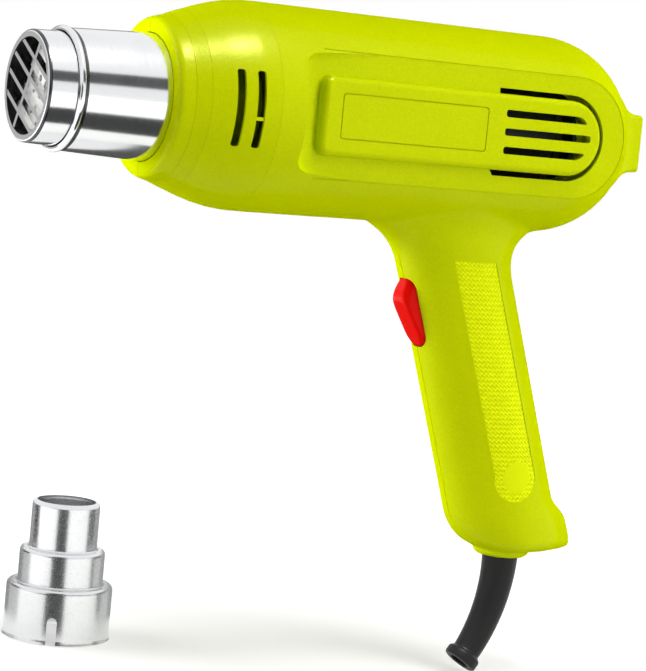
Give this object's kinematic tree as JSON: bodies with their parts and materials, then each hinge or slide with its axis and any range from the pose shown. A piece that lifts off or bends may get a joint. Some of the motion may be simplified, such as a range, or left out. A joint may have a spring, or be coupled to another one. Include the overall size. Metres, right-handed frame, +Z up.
{
  "type": "hot air tool",
  "caption": "Pistol-grip hot air tool in a lime clamshell with a steel barrel, rocker switch, cord boot and a separate step-down nozzle.",
  "frame": {"origin": "middle of the handle, on its axis", "axes": "+X along the barrel towards the tail, +Y to the right side of the tool as its user holds it, +Z up"},
  "size_m": [0.2252, 0.1237, 0.2211],
  "materials": {
    "lime_plastic": "satin",
    "polished_steel": "polished",
    "zinc_steel": "satin",
    "copper": "satin",
    "brass": "satin",
    "ceramic": "matte",
    "mica": "satin",
    "heating_wire": "satin",
    "red_plastic": "gloss",
    "black_plastic": "matte",
    "black_rubber": "satin",
    "ferrite": "matte",
    "circuit_board": "satin",
    "brown_insulation": "satin",
    "blue_insulation": "satin"
  },
  "bodies": {
    "housing": {"left_housing": "lime_plastic", "right_housing": "lime_plastic", "left_name_plate": "lime_plastic", "right_name_plate": "lime_plastic", "barrel_heat_shield": "polished_steel", "nozzle_sleeve": "polished_steel", "outlet_guard": "polished_steel", "rocker_pin": "polished_steel", "screw_top_front": "zinc_steel", "screw_top_rear": "zinc_steel", "screw_bottom_front": "zinc_steel", "screw_tail": "zinc_steel", "screw_handle_top": "zinc_steel", "screw_handle_bottom": "zinc_steel", "cord_clamp_screw_1": "zinc_steel", "cord_clamp_screw_2": "zinc_steel", "thermal_cutout": "zinc_steel", "motor_can": "zinc_steel", "motor_front_bush": "brass", "motor_rear_bush": "brass", "switch_terminal_motor": "brass", "switch_terminal_heater": "brass", "switch_terminal_feed": "brass", "heater_front_disc": "ceramic", "heater_rear_disc": "ceramic", "terminal_block": "ceramic", "mica_sleeve": "mica", "heater_frame": "mica", "heating_coil": "heating_wire", "air_duct": "black_plastic", "motor_end_cap": "black_plastic", "motor_cradle": "black_plastic", "switch_case": "black_plastic", "cord_clamp": "black_plastic", "bridge_rectifier": "black_plastic", "cord_boot": "black_rubber", "motor_magnet_left": "ferrite", "motor_magnet_right": "ferrite", "motor_brush_top": "ferrite", "motor_brush_bottom": "ferrite", "rectifier_board": "circuit_board", "lead_feed": "brown_insulation", "lead_heater": "brown_insulation", "lead_motor": "brown_insulation", "lead_neutral": "blue_insulation", "suppression_capacitor": "blue_insulation"},
    "rocker": {"rocker": "red_plastic"},
    "switch_contact": {"switch_contact": "copper"},
    "rotor": {"motor_shaft": "polished_steel", "motor_armature": "copper", "motor_commutator": "copper", "fan_impeller": "black_plastic"},
    "reducer": {"reducer_nozzle": "polished_steel"}
  },
  "joints": [
    {"name": "rocker_tilt", "type": "hinge", "parent": "housing", "child": "rocker", "pos_m": [-0.02119, 0, 0.02435], "axis": [0, 1, 0], "range_deg": [0, 14]},
    {"name": "contact_rock", "type": "hinge", "parent": "housing", "child": "switch_contact", "pos_m": [-0.01222, 0, 0.02748], "axis": [0, 1, 0], "range_deg": [-9.1, 0]},
    {"name": "rotor_spin", "type": "hinge", "parent": "housing", "child": "rotor", "pos_m": [-0.02415, 0, 0.085], "axis": [1, 0, 0], "continuous": true},
    {"name": "reducer_lift", "type": "slide", "parent": "housing", "child": "reducer", "axis": [0, 0, 1], "range_m": [0, 0.1]}
  ],
  "couplings": [
    {"joint": "contact_rock", "follows": "rocker_tilt", "ratio": -0.64286}
  ]
}
